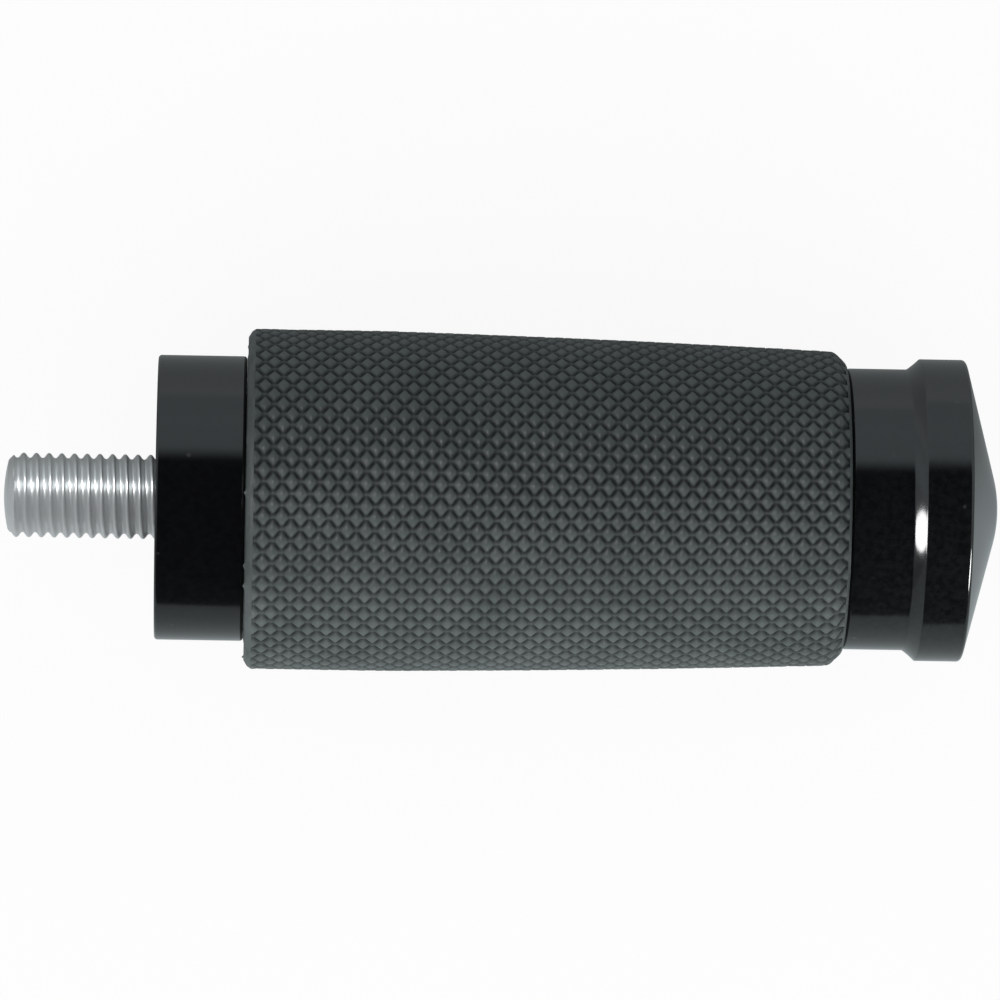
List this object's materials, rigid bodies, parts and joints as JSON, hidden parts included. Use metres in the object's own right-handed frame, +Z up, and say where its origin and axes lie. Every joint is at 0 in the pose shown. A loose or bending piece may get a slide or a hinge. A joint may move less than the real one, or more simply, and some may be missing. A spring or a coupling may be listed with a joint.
{
  "type": "foot peg",
  "caption": "Stud-mounted foot peg: a patterned rubber sleeve on an aluminium core between a plain collar and a flanged conical end cap.",
  "frame": {"origin": "centre of the collar's seating face, on the peg's axis", "axes": "+X runs out along the peg towards the cap's nose, the stud stands out towards -X, and +Z is up"},
  "size_m": [0.1177, 0.0402, 0.0403],
  "materials": {
    "stud_steel": "bright zinc plated rolled thread",
    "black_anodised": "polished and anodised gloss black",
    "ground_steel": "ground",
    "seal_rubber": "smooth matt",
    "bare_aluminium": "as turned",
    "black_oxide_steel": "black oxide",
    "sleeve_rubber": "moulded satin with a diamond tread"
  },
  "bodies": {
    "root": {"mounting_stud": "stud_steel", "inner_collar": "black_anodised", "collar_dowels": "ground_steel", "collar_o_ring": "seal_rubber", "core_tube": "bare_aluminium", "stud_lock_screw": "black_oxide_steel", "rubber_sleeve": "sleeve_rubber", "cap_lock_washer": "ground_steel", "cap_o_ring": "seal_rubber", "end_cap": "black_anodised"}
  },
  "joints": []
}
